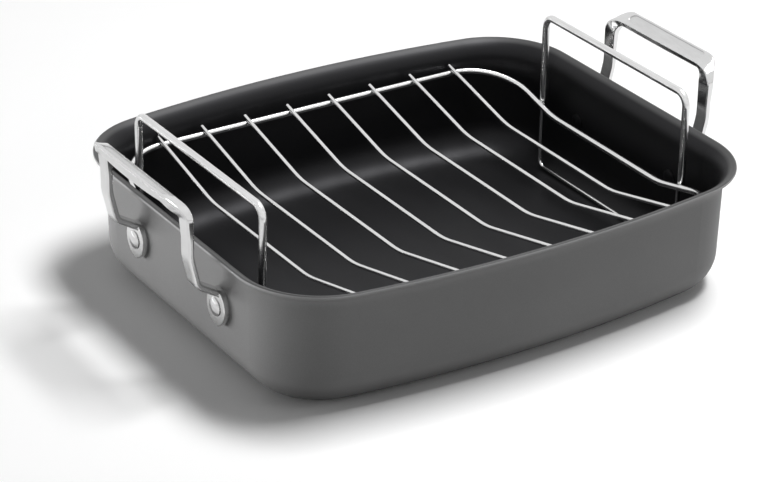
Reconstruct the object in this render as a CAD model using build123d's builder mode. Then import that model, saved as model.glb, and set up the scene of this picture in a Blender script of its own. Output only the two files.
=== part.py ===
from build123d import *
import os
from math import atan, cos, radians, sin, sqrt, tan

# Roasting pan with a lift-out wire rack, millimetres, +Z up
# The origin is on the table under the middle of the pan; +X runs to the right-hand handle

# Pan: one pressed sheet with bowed long sides, a flared lip and a coved bottom
pan_length = 430.0
pan_width = 358.0
pan_height = 101.0
sheet_thickness = 3.0
side_bow = 22.0
corner_radius = 68.0
lip_reach = 9.6
lip_turn_deg = 70.0
wall_draft_deg = 0.8
cove_radius = 29.0

# Rivets: two through each end wall, domed outside and nearly flat inside
rivet_height = 56.0
rivet_spacing = 122.0
rivet_shank_radius = 3.2
rivet_clearance = 0.05
outer_head_radius = 7.2
outer_head_rise = 2.8
inner_head_radius = 6.6
inner_head_rise = 1.7
head_rim = 0.7

# Pan handles: cast loops with a wedge-shaped grip, flat legs and oval riveted discs
# The shares place the shoulder and the knee between the ankle and the loop's corner
disc_half_width = 12.6
disc_half_height = 15.0
disc_thickness = 5.2
disc_edge_round = 0.8
grip_width = 13.6
grip_tilt_deg = 25.0
grip_inner_height = 143.4
grip_inner_band = 5.2
grip_outer_band = 6.4
grip_belly = 2.4
grip_set_out = 3.0
grip_step_count = 6
recess_end_margin = 0.5
recess_side_margin = 3.1
recess_depth = 0.6
loop_corner_radius = 7.5
loop_corner_steps = 6
loop_corner_power = 2.5
loop_edge_round = 1.5
leg_stand_off = 26.8
leg_thickness = 4.8
leg_thickness_top = 6.0
leg_width_top = 13.0
leg_width_foot = 12.5
leg_taper_share = 0.5
shoulder_share = 0.55
shoulder_bend_radius = 30.0
knee_share = 0.18
knee_reach = 21.0
knee_bend_radius = 10.0
ankle_inset = 4.0
ankle_bend_radius = 4.0

# Rack: a bent frame, cross wires welded on top, two lifting handles and two feet
frame_wire_radius = 2.5
cross_wire_radius = 1.7
handle_wire_radius = 3.0
foot_wire_radius = 1.75
weld_sink = 0.4
frame_end_clearance = 15.5
frame_corner_ease = 21.5
frame_low_height = 60.4
valley_width = 142.0
valley_drop = 19.4
valley_bend_radius = 80.0
cross_wire_count = 8
cross_wire_overhang = 1.5
cross_wire_clearance = 1.5
rack_handle_width = 183.0
rack_handle_rise = 77.0
rack_handle_lean = 1.0
rack_handle_bend_radius = 10.0
rack_handle_tip_drop = 2.2
foot_leg_inset = 1.0
foot_bend_radius = 7.0
foot_weld_depth = 0.8
foot_set_in = 1.8
rest_gap = 0.3

# One overrun serves every cut
overrun = 1.0

# Places on the pan's wall, in a cross-section through the right-hand end
half_length = pan_length / 2
half_width = pan_width / 2
half_sheet = sheet_thickness / 2
end_half_width = half_width - side_bow
lip_turn = radians(lip_turn_deg)
draft = radians(wall_draft_deg)
lip_bend_radius = lip_reach / (1 - cos(lip_turn))
lip_under = lip_bend_radius - half_sheet
lip_upper = lip_bend_radius + half_sheet
lip_centre = (
    half_length - half_sheet + lip_bend_radius * cos(lip_turn),
    pan_height - half_sheet - lip_bend_radius * sin(lip_turn),
)


def polar(centre, radius, angle):
    """Point at a distance and an angle from a centre, in a profile's own plane."""
    return (centre[0] + radius * cos(angle), centre[1] + radius * sin(angle))


def lip_point(radius, angle):
    """Point on the lip's bend; zero is the wall's side and a growing angle climbs to the edge."""
    return (lip_centre[0] - radius * cos(angle), lip_centre[1] + radius * sin(angle))


wall_top = lip_point(lip_under, -draft)


def wall_x(height):
    """Where the drafted outer wall stands at a height, at the right-hand end."""
    return wall_top[0] - (wall_top[1] - height) * tan(draft)


cove_inner_radius = cove_radius - sheet_thickness
cove_centre = (wall_x(cove_radius) - cove_radius / cos(draft), cove_radius)
cove_middle = -(radians(90) + draft) / 2
floor_inset = half_length - cove_centre[0]

rivet_hole_radius = rivet_shank_radius + rivet_clearance
rivet_places = [(side, y) for side in (-1, 1) for y in (-rivet_spacing / 2, rivet_spacing / 2)]


def wall_plane(side, y):
    """Plane on an end's outer wall at a rivet, square to the drafted wall and facing out."""
    normal = (side * cos(draft), 0, -sin(draft))
    return Plane(origin=(side * wall_x(rivet_height), y, rivet_height), x_dir=(0, 1, 0), z_dir=normal)


def half_outline():
    """Half of the plan outline, from the middle of the right end to the middle of the left end."""
    Line((half_length, 0), (half_length, end_half_width))
    ThreePointArc((half_length, end_half_width), (0, half_width), (-half_length, end_half_width))
    Line((-half_length, end_half_width), (-half_length, 0))


os.makedirs("parts", exist_ok=True)

# Roasting pan: the wall's section is swept round half of the rim and mirrored, then the floor closes it
with BuildLine(Plane.XY.offset(pan_height)) as rim_path:
    half_outline()
    fillet(rim_path.vertices().group_by(Axis.Y)[-1], corner_radius)

with BuildSketch() as floor_face:
    with BuildLine():
        half_outline()
        mirror(about=Plane.XZ)
    make_face()
    fillet(floor_face.vertices(), corner_radius)
    offset(amount=-floor_inset, mode=Mode.REPLACE)

with BuildPart() as roasting_pan:
    with BuildSketch(Plane.XZ):
        with BuildLine():
            lip_lower_edge = lip_point(lip_under, lip_turn)
            lip_upper_edge = lip_point(lip_upper, lip_turn)
            lip_middle = lip_point(lip_bend_radius, lip_turn)
            lip_tip = polar(lip_middle, half_sheet, radians(90) - lip_turn)
            lip_halfway = (lip_turn - draft) / 2
            cove_outer_top = polar(cove_centre, cove_radius, -draft)
            cove_inner_top = polar(cove_centre, cove_inner_radius, -draft)
            wall_inner_top = lip_point(lip_upper, -draft)
            floor_lower = (cove_centre[0], 0)
            floor_upper = (cove_centre[0], sheet_thickness)
            ThreePointArc(lip_lower_edge, lip_point(lip_under, lip_halfway), wall_top)
            Line(wall_top, cove_outer_top)
            ThreePointArc(cove_outer_top, polar(cove_centre, cove_radius, cove_middle), floor_lower)
            Line(floor_lower, floor_upper)
            ThreePointArc(floor_upper, polar(cove_centre, cove_inner_radius, cove_middle), cove_inner_top)
            Line(cove_inner_top, wall_inner_top)
            ThreePointArc(wall_inner_top, lip_point(lip_upper, lip_halfway), lip_upper_edge)
            ThreePointArc(lip_upper_edge, lip_tip, lip_lower_edge)
        make_face()
    sweep(path=rim_path.wire())
    mirror(about=Plane.XZ)
    extrude(floor_face.sketch, amount=sheet_thickness)
    for side, y in rivet_places:
        with BuildSketch(wall_plane(side, y).offset(overrun)):
            Circle(rivet_hole_radius)
        extrude(amount=-sheet_thickness - 2 * overrun, mode=Mode.SUBTRACT)
roasting_pan.part.label = "roasting_pan"
export_step(roasting_pan.part, "parts/roasting_pan.step")

# Pan handle: half a loop runs from its corner to its disc and is mirrored, then the grip joins the corners
grip_tilt = radians(grip_tilt_deg)
leg_y = rivet_spacing / 2
leg_x = wall_x(rivet_height) + leg_stand_off
leg_inner_x = leg_x - leg_thickness / 2
grip_inner_x = leg_inner_x + grip_set_out
corner_y = leg_y - leg_width_top / 2 - loop_corner_radius
corner_height = grip_inner_height - grip_inner_band - loop_corner_radius
ankle_height = rivet_height + disc_half_height - ankle_inset
shoulder_height = ankle_height + (corner_height - ankle_height) * shoulder_share
knee_height = ankle_height + (corner_height - ankle_height) * knee_share
taper_height = corner_height - (corner_height - shoulder_height) * leg_taper_share
knee_x = wall_x(knee_height) + knee_reach
ankle_x = wall_x(ankle_height) + disc_thickness / 2


def wedge(plane, inner_x, depth, inner_band, outer_band, rise):
    """Rounded section across the loop; its bands are measured away from the loop's opening."""
    inner_top = loop_corner_radius + inner_band
    outer_top = inner_top + rise
    with BuildSketch(plane) as section:
        with BuildLine():
            Polyline(
                (inner_x, loop_corner_radius),
                (inner_x + depth, outer_top - outer_band),
                (inner_x + depth, outer_top),
                (inner_x, inner_top),
                close=True,
            )
        make_face()
        fillet(section.vertices(), loop_edge_round)
    return section.sketch


def corner_section(turn):
    """Section round the corner: the grip's wedge turns into the leg's flat bar."""
    leg_part = sin(turn) ** loop_corner_power
    depth = grip_width + (leg_thickness_top - grip_width) * leg_part
    return wedge(
        Plane(origin=(0, corner_y, corner_height), x_dir=(1, 0, 0), z_dir=(0, -cos(turn), sin(turn))),
        grip_inner_x - grip_set_out * leg_part,
        depth,
        grip_inner_band + (leg_width_top - grip_inner_band) * leg_part,
        grip_outer_band + (leg_width_top - grip_outer_band) * leg_part,
        depth * tan(grip_tilt) * (1 - leg_part),
    )


def grip_section(share):
    """Section along the grip at a share of its half length; the underside bellies out in the middle."""
    outer_band = grip_outer_band + grip_belly * (1 - share**2)
    plane = Plane(origin=(0, corner_y * share, corner_height), x_dir=(1, 0, 0), z_dir=(0, -1, 0))
    return wedge(plane, grip_inner_x, grip_width, grip_inner_band, outer_band, grip_width * tan(grip_tilt))


corner_turns = [radians(90) * step / loop_corner_steps for step in range(loop_corner_steps + 1)]
corner_sections = [corner_section(turn) for turn in corner_turns]
grip_shares = [2 * step / grip_step_count - 1 for step in range(grip_step_count + 1)]

with BuildSketch(Plane(origin=(leg_x, leg_y, taper_height), x_dir=(1, 0, 0), z_dir=(0, 0, 1))) as leg_end:
    Rectangle(leg_thickness, leg_width_foot)
    fillet(leg_end.vertices(), loop_edge_round)

with BuildLine(Plane.XZ.offset(-leg_y)) as strap_path:
    FilletPolyline(
        (leg_x, taper_height),
        (leg_x, shoulder_height),
        (knee_x, knee_height),
        (ankle_x, ankle_height),
        (ankle_x, rivet_height),
        radius=[shoulder_bend_radius, knee_bend_radius, ankle_bend_radius],
    )

grip_top_middle = (grip_inner_x + grip_width / 2, 0, grip_inner_height + grip_width / 2 * tan(grip_tilt))
grip_top = Plane(origin=grip_top_middle, x_dir=(0, 1, 0), z_dir=(-sin(grip_tilt), 0, cos(grip_tilt)))

with BuildPart() as pan_handle_right:
    with BuildSketch(wall_plane(1, leg_y)):
        Ellipse(disc_half_width, disc_half_height)
    extrude(amount=disc_thickness)
    fillet(pan_handle_right.edges().filter_by(GeomType.ELLIPSE).sort_by(Axis.X)[-1], disc_edge_round)
    sweep(sections=leg_end.sketch, path=strap_path.wire())
    loft(corner_sections)
    loft([corner_sections[-1], leg_end.sketch], ruled=True)
    mirror(about=Plane.XZ)
    loft([grip_section(share) for share in grip_shares])
    with BuildSketch(grip_top.offset(overrun)):
        SlotOverall(2 * (corner_y - recess_end_margin), grip_width / cos(grip_tilt) - 2 * recess_side_margin)
    extrude(amount=-recess_depth - overrun, mode=Mode.SUBTRACT)
    for y in (-leg_y, leg_y):
        with BuildSketch(wall_plane(1, y).offset(-overrun)):
            Circle(rivet_hole_radius)
        extrude(amount=disc_thickness + 2 * overrun, mode=Mode.SUBTRACT)
pan_handle_right.part.label = "pan_handle_right"
export_step(pan_handle_right.part, "parts/pan_handle_right.step")

with BuildPart() as pan_handle_left:
    mirror(pan_handle_right.part, about=Plane.YZ)
pan_handle_left.part.label = "pan_handle_left"
export_step(pan_handle_left.part, "parts/pan_handle_left.step")

# Rivets: turned about an axis square to the wall, with a head on the disc and one inside the pan
side_names = {-1: "left", 1: "right"}
for side, y in rivet_places:
    seat = wall_plane(side, y)
    rivet_name = f"rivet_{side_names[side]}_{'front' if y < 0 else 'back'}"
    with BuildPart() as rivet:
        with BuildSketch(Plane(origin=seat.origin, x_dir=seat.z_dir, z_dir=(0, -side, 0))):
            with BuildLine():
                inner_rim = (-sheet_thickness - head_rim, inner_head_radius)
                inner_top = (-sheet_thickness - inner_head_rise, 0)
                outer_rim = (disc_thickness + head_rim, outer_head_radius)
                outer_top = (disc_thickness + outer_head_rise, 0)
                TangentArc(inner_top, inner_rim, tangent=(0, 1))
                Polyline(
                    inner_rim,
                    (-sheet_thickness, inner_head_radius),
                    (-sheet_thickness, rivet_shank_radius),
                    (disc_thickness, rivet_shank_radius),
                    (disc_thickness, outer_head_radius),
                    outer_rim,
                )
                TangentArc(outer_top, outer_rim, tangent=(0, 1))
                Line(inner_top, outer_top)
            make_face()
        revolve(axis=Axis(seat.origin, seat.z_dir))
    rivet.part.label = rivet_name
    export_step(rivet.part, f"parts/{rivet_name}.step")

# Rack frame: one wire bent in plan and to a shallow valley, so its corners lie in the sloping planes
rail_height = frame_low_height + valley_drop
half_rack_length = wall_x(frame_low_height) - sheet_thickness - frame_end_clearance - frame_wire_radius
frame_corner_radius = corner_radius - frame_corner_ease
end_wire_x = half_rack_length - frame_corner_radius
bow_radius = (half_length**2 + side_bow**2) / (2 * side_bow)
end_wire_wall_y = half_width - bow_radius + sqrt(bow_radius**2 - end_wire_x**2)
wire_end_y = end_wire_wall_y - (half_length - wall_x(rail_height)) - sheet_thickness - cross_wire_clearance
half_rack_width = wire_end_y - cross_wire_overhang - frame_wire_radius
half_valley = valley_width / 2
valley_slope = atan(valley_drop / (half_rack_width - half_valley))


def wire_along(path, radius):
    """Round wire swept along a path."""
    with BuildSketch(Plane(origin=path @ 0, z_dir=path % 0)) as round_section:
        Circle(radius)
    return sweep(sections=round_section.sketch, path=path)


with BuildPart() as rack_frame:
    with BuildLine() as frame_path:
        FilletPolyline(
            (0, half_rack_width, rail_height),
            (half_rack_length, half_rack_width, rail_height),
            (half_rack_length, half_valley, frame_low_height),
            (half_rack_length, -half_valley, frame_low_height),
            (half_rack_length, -half_rack_width, rail_height),
            (0, -half_rack_width, rail_height),
            radius=[frame_corner_radius, valley_bend_radius, valley_bend_radius, frame_corner_radius],
        )
    wire_along(frame_path.wire(), frame_wire_radius)
    mirror(about=Plane.YZ)
rack_frame.part.label = "rack_frame"
export_step(rack_frame.part, "parts/rack_frame.step")

# Cross wires: parallel to the frame's own valley, resting on both rails and pressed into them at the welds
wire_rise = frame_wire_radius + cross_wire_radius - weld_sink
wire_half_valley = half_valley - wire_rise * tan(valley_slope / 2)
wire_low_height = frame_low_height + wire_rise
wire_end_height = wire_low_height + (wire_end_y - wire_half_valley) * tan(valley_slope)

for index in range(cross_wire_count):
    wire_x = end_wire_x * (2 * index / (cross_wire_count - 1) - 1)
    wire_name = f"cross_wire_{index + 1}"
    with BuildPart() as cross_wire:
        with BuildLine() as wire_path:
            FilletPolyline(
                (wire_x, wire_end_y, wire_end_height),
                (wire_x, wire_half_valley, wire_low_height),
                (wire_x, -wire_half_valley, wire_low_height),
                (wire_x, -wire_end_y, wire_end_height),
                radius=valley_bend_radius,
            )
        wire_along(wire_path.wire(), cross_wire_radius)
    cross_wire.part.label = wire_name
    export_step(cross_wire.part, f"parts/{wire_name}.step")

# Rack handles: upright wire hoops welded to the outside of the frame's ends
handle_x = half_rack_length + frame_wire_radius + handle_wire_radius - weld_sink
half_handle = rack_handle_width / 2
handle_weld_height = frame_low_height + (half_handle - half_valley) * tan(valley_slope)
handle_tip_height = handle_weld_height - rack_handle_tip_drop + handle_wire_radius
handle_top_x = handle_x - rack_handle_lean
handle_top_height = handle_weld_height + rack_handle_rise

with BuildPart() as rack_handle_right:
    with BuildLine() as hoop_path:
        FilletPolyline(
            (handle_x, -half_handle, handle_tip_height),
            (handle_top_x, -half_handle, handle_top_height),
            (handle_top_x, half_handle, handle_top_height),
            (handle_x, half_handle, handle_tip_height),
            radius=rack_handle_bend_radius,
        )
    wire_along(hoop_path.wire(), handle_wire_radius)
    with Locations((handle_x, -half_handle, handle_tip_height), (handle_x, half_handle, handle_tip_height)):
        Sphere(handle_wire_radius)
rack_handle_right.part.label = "rack_handle_right"
export_step(rack_handle_right.part, "parts/rack_handle_right.step")

with BuildPart() as rack_handle_left:
    mirror(rack_handle_right.part, about=Plane.YZ)
rack_handle_left.part.label = "rack_handle_left"
export_step(rack_handle_left.part, "parts/rack_handle_left.step")

# Rack feet: thinner hoops below the handles, whose bars rest in the cove of the pan's bottom
# A bar wide enough to reach the cove's corners rests on them instead, a little higher
foot_x = handle_x - foot_set_in
half_foot = half_handle - foot_leg_inset
corner_centre_x = half_length - corner_radius
foot_corner_y = max(0, half_foot - foot_bend_radius - (end_half_width - corner_radius))
foot_cove_x = corner_centre_x + sqrt((foot_x - corner_centre_x) ** 2 + foot_corner_y**2)
cove_clear_radius = cove_inner_radius - foot_wire_radius - rest_gap
foot_bar_height = cove_centre[1] - sqrt(cove_clear_radius**2 - (foot_cove_x - cove_centre[0]) ** 2)
foot_top_height = handle_weld_height - rack_handle_tip_drop + foot_weld_depth

with BuildPart() as rack_foot_right:
    with BuildLine() as foot_path:
        FilletPolyline(
            (foot_x, -half_foot, foot_top_height),
            (foot_x, -half_foot, foot_bar_height),
            (foot_x, half_foot, foot_bar_height),
            (foot_x, half_foot, foot_top_height),
            radius=foot_bend_radius,
        )
    wire_along(foot_path.wire(), foot_wire_radius)
rack_foot_right.part.label = "rack_foot_right"
export_step(rack_foot_right.part, "parts/rack_foot_right.step")

with BuildPart() as rack_foot_left:
    mirror(rack_foot_right.part, about=Plane.YZ)
rack_foot_left.part.label = "rack_foot_left"
export_step(rack_foot_left.part, "parts/rack_foot_left.step")
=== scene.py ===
import math

import bpy
from mathutils import Matrix, Vector

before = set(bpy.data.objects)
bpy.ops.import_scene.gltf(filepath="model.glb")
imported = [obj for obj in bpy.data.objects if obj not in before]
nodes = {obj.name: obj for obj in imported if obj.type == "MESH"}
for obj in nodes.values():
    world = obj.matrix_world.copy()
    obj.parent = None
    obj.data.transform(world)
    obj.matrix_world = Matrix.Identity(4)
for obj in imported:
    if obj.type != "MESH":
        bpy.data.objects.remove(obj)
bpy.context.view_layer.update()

# Lengths are in metres and angles in degrees, unless a name says otherwise

# Camera, fitted to the photograph
PHOTO_WIDTH_PIXELS = 780
FOCAL_LENGTH_PIXELS = 2725.73
SENSOR_WIDTH_MM = 36
CAMERA_YAW = -33.469
CAMERA_PITCH = 27.342
CAMERA_ROLL = 1.2225
CAMERA_AIM = (0.0128, 0.0508, 0)
CAMERA_DISTANCE = 2.17183
CLIP_NEAR = 0.01
CLIP_FAR = 50

# Shader nodes: the range that most of a noise fills, and the Mix node's sockets for colours
NOISE_LOW = 0.3
NOISE_HIGH = 0.7
NOISE_ROUGHNESS = 0.55
MIX_FACTOR = 0
MIX_FIRST = 6
MIX_SECOND = 7
MIX_RESULT = 2

# Heights on the pan's wall: its foot, darkened with painted shade, and the edge of its lip,
# paled with a painted highlight
FOOT_SHADE_LOW = 0.001
FOOT_SHADE_HIGH = 0.022
LIP_HIGHLIGHT_LOW = 0.0978
LIP_HIGHLIGHT_HIGH_OUTSIDE = 0.1
LIP_HIGHLIGHT_HIGH_INSIDE = 0.0998

# Faces of the pan that carry the coating: they look up or inwards, above its underside
INWARD_WEIGHT = 0.7
COATED_REACH = 0.15
UNDERSIDE_TOP = 0.0015

# The thumb recess in a pan handle's tilted grip, and the rivets' heads inside the pan
GRIP_TILT = 25.0
GRIP_INNER_X = 0.2324
GRIP_INNER_HEIGHT = 0.1434
RECESS_DEEPEST = 0.0012
RECESS_SHALLOWEST = 0.0002
RECESS_HALF_LENGTH = 0.0475
RECESS_INNER_X = 0.2345
RECESS_OUTER_X = 0.2440
RIVET_HEAD_OUTER_X = 0.2105

# Stage: the floor, and the world's strength as a light and as a visible white
FLOOR_HALF_SIZE = 6
FLOOR_DROP = 0.0002
AMBIENT_STRENGTH = 0.12
WHITE_STRENGTH = 1.0


# Camera: the photograph's viewing angle, seen from the front left and above
def make_camera():
    yaw, pitch, roll = (math.radians(angle) for angle in (CAMERA_YAW, CAMERA_PITCH, CAMERA_ROLL))
    level = math.cos(pitch)
    back = Vector((math.sin(yaw) * level, -math.cos(yaw) * level, math.sin(pitch)))
    level_right = (-back).cross(Vector((0, 0, 1))).normalized()
    level_up = level_right.cross(-back)
    right = level_right * math.cos(roll) + level_up * math.sin(roll)
    up = level_up * math.cos(roll) - level_right * math.sin(roll)
    data = bpy.data.cameras.new("camera")
    data.sensor_width = SENSOR_WIDTH_MM
    data.lens = FOCAL_LENGTH_PIXELS * SENSOR_WIDTH_MM / PHOTO_WIDTH_PIXELS
    data.clip_start = CLIP_NEAR
    data.clip_end = CLIP_FAR
    camera = bpy.data.objects.new("camera", data)
    turn = Matrix((right, up, back)).transposed().to_4x4()
    camera.matrix_world = Matrix.Translation(Vector(CAMERA_AIM) + back * CAMERA_DISTANCE) @ turn
    bpy.context.scene.collection.objects.link(camera)
    bpy.context.scene.camera = camera


# Materials: small helpers for node trees
class Nodes:
    """Short calls for building one material's node tree."""

    def __init__(self, name):
        self.material = bpy.data.materials.new(name)
        self.material.use_nodes = True
        self.tree = self.material.node_tree
        self.tree.nodes.clear()

    def feed(self, node, key, value):
        """Link an output to a node's input, or set the input to a plain value."""
        if isinstance(value, bpy.types.NodeSocket):
            self.tree.links.new(value, node.inputs[key])
        else:
            node.inputs[key].default_value = value

    def add(self, kind, inputs=(), **settings):
        node = self.tree.nodes.new("ShaderNode" + kind)
        for key, value in settings.items():
            setattr(node, key, value)
        for key, value in dict(inputs).items():
            self.feed(node, key, value)
        return node

    def noise(self, scale, detail, stretch=(1, 1, 1)):
        """A noise that is fixed to the object; a small stretch draws it out along that axis."""
        coordinates = self.add("TexCoord")
        place = self.add("Mapping", {"Vector": coordinates.outputs["Object"], "Scale": stretch})
        noise = self.add("TexNoise", {
            "Vector": place.outputs["Vector"],
            "Scale": scale,
            "Detail": detail,
            "Roughness": NOISE_ROUGHNESS,
        })
        return noise.outputs["Fac"]

    def span(self, value, low, high, from_low=NOISE_LOW, from_high=NOISE_HIGH):
        """Spread a value that runs between from_low and from_high over low to high."""
        spread = self.add("MapRange", {
            "Value": value,
            "From Min": from_low,
            "From Max": from_high,
            "To Min": low,
            "To Max": high,
        })
        return spread.outputs["Result"]

    def mix(self, factor, first, second, blend_type="MIX"):
        node = self.add("Mix", data_type="RGBA", blend_type=blend_type)
        for index, value in ((MIX_FACTOR, factor), (MIX_FIRST, first), (MIX_SECOND, second)):
            self.feed(node, index, value)
        return node.outputs[MIX_RESULT]

    def vary(self, pattern, first, second):
        """A colour that wanders between two colours with a noise pattern."""
        return self.mix(self.span(pattern, 0, 1), first, second)

    def height(self, low, high):
        """0 below one height on the object, rising to 1 at the other."""
        coordinates = self.add("TexCoord")
        split = self.add("SeparateXYZ", {"Vector": coordinates.outputs["Object"]})
        return self.span(split.outputs["Z"], 0, 1, low, high)

    def bump(self, height, strength, distance, normal=None):
        inputs = {"Height": height, "Strength": strength, "Distance": distance}
        if normal is not None:
            inputs["Normal"] = normal
        return self.add("Bump", inputs).outputs["Normal"]

    def surface(self, **inputs):
        """Finish the material with one shader; its inputs are named with _ for each space."""
        named = {key.replace("_", " "): value for key, value in inputs.items()}
        shader = self.add("BsdfPrincipled", named)
        output = self.add("OutputMaterial")
        self.tree.links.new(shader.outputs["BSDF"], output.inputs["Surface"])
        return self.material


def grey(value, blue=1.0):
    """A grey whose blue is changed by a factor."""
    return (value, value, value * blue, 1)


def anodised_outside():
    """Hard-anodised aluminium: satin dark grey with a very fine grain; painted shade darkens the
    foot and a painted highlight pales the lip's edge.
    """
    n = Nodes("anodised_outside")
    grain = n.noise(scale=2200, detail=2)
    cloud = n.noise(scale=9, detail=4)
    wall = n.vary(cloud, grey(0.106), grey(0.124))
    # Painted shade: the wall's colour darkens towards the foot
    colour = n.mix(n.height(FOOT_SHADE_LOW, FOOT_SHADE_HIGH), grey(0.056), wall)
    speck = n.vary(grain, grey(0.9), grey(1.1))
    shade = n.mix(1, colour, speck, blend_type="MULTIPLY")
    return n.surface(
        # Painted highlight: the lip's edge is a paler grey
        Base_Color=n.mix(n.height(LIP_HIGHLIGHT_LOW, LIP_HIGHLIGHT_HIGH_OUTSIDE), shade, grey(0.23)),
        Metallic=0.0,
        Roughness=n.span(cloud, 0.46, 0.54),
        Specular_IOR_Level=0.3,
        Normal=n.bump(grain, strength=0.25, distance=0.00004),
    )


def nonstick_inside():
    """Dark nonstick coating: satin, with the faint orange peel and flecks of a sprayed coat."""
    n = Nodes("nonstick_inside")
    peel = n.noise(scale=320, detail=3)
    fleck = n.noise(scale=2600, detail=2)
    cloud = n.noise(scale=11, detail=4)
    flecked = n.span(fleck, 0, 1, from_low=0.45, from_high=0.75)
    colour = n.mix(flecked, grey(0.006, blue=1.06), grey(0.013, blue=1.1))
    peeled = n.bump(peel, strength=0.10, distance=0.0002)
    return n.surface(
        # The lip's edge turns grey: partly the bare edge beyond the coating, partly a painted
        # highlight
        Base_Color=n.mix(n.height(LIP_HIGHLIGHT_LOW, LIP_HIGHLIGHT_HIGH_INSIDE), colour, grey(0.068)),
        Roughness=n.span(cloud, 0.41, 0.48),
        Specular_IOR_Level=0.23,
        Specular_Tint=(0.95, 0.95, 1, 1),
        Normal=n.bump(fleck, strength=0.12, distance=0.00003, normal=peeled),
    )


def polished_cast():
    """Polished cast stainless steel: bright, with faint waves and buffing marks."""
    n = Nodes("polished_cast")
    wave = n.noise(scale=45, detail=2)
    buff = n.noise(scale=700, detail=3, stretch=(1, 0.15, 1))
    waved = n.bump(wave, strength=0.1, distance=0.0005)
    return n.surface(
        Base_Color=n.vary(wave, grey(0.63), grey(0.69)),
        Metallic=1.0,
        Roughness=n.span(buff, 0.1, 0.16),
        Normal=n.bump(buff, strength=0.03, distance=0.00004, normal=waved),
    )


def brushed_recess():
    """The grip's thumb recess: the same steel, brushed and a little duller."""
    n = Nodes("brushed_recess")
    buff = n.noise(scale=900, detail=3, stretch=(1, 0.1, 1))
    return n.surface(
        Base_Color=n.vary(buff, grey(0.56), grey(0.61)),
        Metallic=1.0,
        Roughness=n.span(buff, 0.28, 0.34),
        Normal=n.bump(buff, strength=0.03, distance=0.00004),
    )


def bright_wire():
    """Bright drawn wire: long faint draw lines and a soft shine."""
    n = Nodes("bright_wire")
    draw = n.noise(scale=900, detail=3, stretch=(1, 0.04, 1))
    return n.surface(
        Base_Color=n.vary(draw, grey(0.66), grey(0.76)),
        Metallic=1.0,
        Roughness=n.span(draw, 0.16, 0.24),
        Normal=n.bump(draw, strength=0.06, distance=0.00005),
    )


def white_floor():
    """A plain white sheet, with the faintest change of tone."""
    n = Nodes("white_floor")
    return n.surface(
        Base_Color=n.vary(n.noise(scale=3, detail=2), grey(0.96), grey(0.98)),
        Roughness=0.9,
        Specular_IOR_Level=0.2,
    )


# All the pieces whose names begin in the same ways get one material
def dress(beginnings, material):
    for name, node in nodes.items():
        if name.startswith(beginnings):
            node.data.materials.clear()
            node.data.materials.append(material)


# The pan keeps one mesh; its faces that look up or inwards carry the coating
def paint_pan(pan, outside, inside):
    mesh = pan.data
    mesh.materials.clear()
    mesh.materials.append(outside)
    mesh.materials.append(inside)
    for face in mesh.polygons:
        inward = Vector((-face.center.x, -face.center.y, 0)).normalized()
        reach = face.normal.dot(inward) * INWARD_WEIGHT + face.normal.z
        coated = reach > COATED_REACH and face.center.z >= UNDERSIDE_TOP
        face.material_index = 1 if coated else 0


def in_recess(middle):
    """Whether a face's middle lies just below the grip's tilted top, where the recess is."""
    top = GRIP_INNER_HEIGHT + (abs(middle.x) - GRIP_INNER_X) * math.tan(math.radians(GRIP_TILT))
    sunk = top - RECESS_DEEPEST < middle.z < top - RECESS_SHALLOWEST
    across = RECESS_INNER_X < abs(middle.x) < RECESS_OUTER_X
    return sunk and across and abs(middle.y) < RECESS_HALF_LENGTH


def in_pan(middle):
    """Whether the middle of a rivet's face lies inside the pan."""
    return abs(middle.x) < RIVET_HEAD_OUTER_X


# The grips' recesses are duller, and the rivets' heads inside the pan carry its coating
def paint_part(beginning, material, belongs):
    for name, node in nodes.items():
        if name.startswith(beginning):
            node.data.materials.append(material)
            for face in node.data.polygons:
                if belongs(face.center):
                    face.material_index = 1


# Stage: a wide pale floor, a white surround and soft lamps
def make_floor():
    mesh = bpy.data.meshes.new("floor")
    size = FLOOR_HALF_SIZE
    corners = [(-size, -size, 0), (size, -size, 0), (size, size, 0), (-size, size, 0)]
    mesh.from_pydata(corners, [], [(0, 1, 2, 3)])
    mesh.materials.append(white_floor())
    floor = bpy.data.objects.new("floor", mesh)
    floor.location.z = -FLOOR_DROP
    bpy.context.scene.collection.objects.link(floor)


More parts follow.
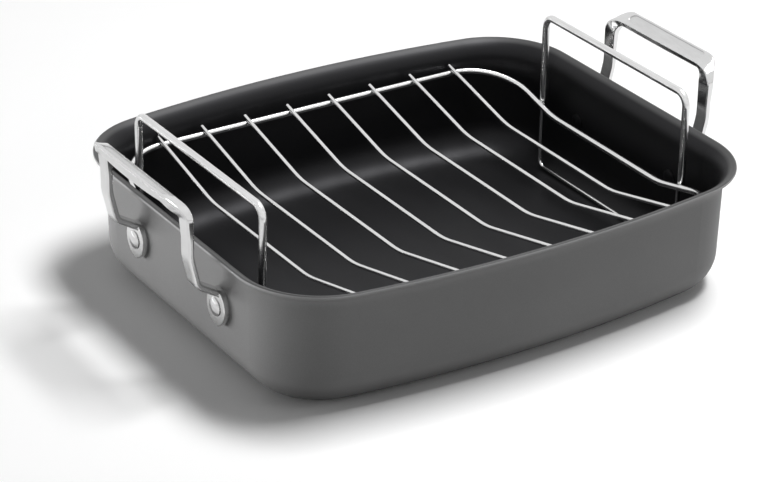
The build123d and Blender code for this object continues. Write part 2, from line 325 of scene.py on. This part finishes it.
def make_world():
    """White to the camera and in reflections, and a dim light from all sides on the object."""
    world = bpy.data.worlds.new("studio")
    bpy.context.scene.world = world
    world.use_nodes = True
    tree = world.node_tree
    tree.nodes.clear()
    path = tree.nodes.new("ShaderNodeLightPath")
    seen = path.outputs["Is Camera Ray"]
    for ray in ("Is Glossy Ray", "Is Transmission Ray"):
        either = tree.nodes.new("ShaderNodeMath")
        either.operation = "MAXIMUM"
        tree.links.new(seen, either.inputs[0])
        tree.links.new(path.outputs[ray], either.inputs[1])
        seen = either.outputs[0]
    strength = tree.nodes.new("ShaderNodeMapRange")
    strength.inputs["To Min"].default_value = AMBIENT_STRENGTH
    strength.inputs["To Max"].default_value = WHITE_STRENGTH
    tree.links.new(seen, strength.inputs["Value"])
    background = tree.nodes.new("ShaderNodeBackground")
    background.inputs["Color"].default_value = (1, 1, 1, 1)
    tree.links.new(strength.outputs["Result"], background.inputs["Strength"])
    output = tree.nodes.new("ShaderNodeOutputWorld")
    tree.links.new(background.outputs["Background"], output.inputs["Surface"])


def make_lamp(name, toward, distance, width, height, power, mirrored=False):
    """A soft lamp that shines at the origin; only a mirrored lamp shows in shiny surfaces."""
    data = bpy.data.lights.new(name, "AREA")
    data.shape = "RECTANGLE"
    data.size = width
    data.size_y = height
    data.energy = power
    lamp = bpy.data.objects.new(name, data)
    direction = Vector(toward).normalized()
    lamp.location = direction * distance
    lamp.rotation_mode = "QUATERNION"
    lamp.rotation_quaternion = direction.to_track_quat("Z", "Y")
    lamp.visible_camera = False
    lamp.visible_glossy = mirrored
    bpy.context.scene.collection.objects.link(lamp)


make_camera()
anodised = anodised_outside()
nonstick = nonstick_inside()
dress(("pan_handle", "rivet"), polished_cast())
dress(("rack", "cross_wire"), bright_wire())
paint_pan(nodes["roasting_pan"], anodised, nonstick)
paint_part("pan_handle", brushed_recess(), in_recess)
paint_part("rivet", nonstick, in_pan)
make_floor()
make_world()
make_lamp("key", (0.31, -0.06, 1), distance=2.4, width=1.15, height=0.7, power=58, mirrored=True)
make_lamp("left_fill", (-0.77, 0.64, 0.02), distance=1.6, width=1.3, height=0.06, power=46)
make_lamp("right_fill", (0.75, -0.85, 0.5), distance=1.8, width=1.0, height=0.7, power=4)

bpy.context.scene.view_settings.view_transform = "Standard"
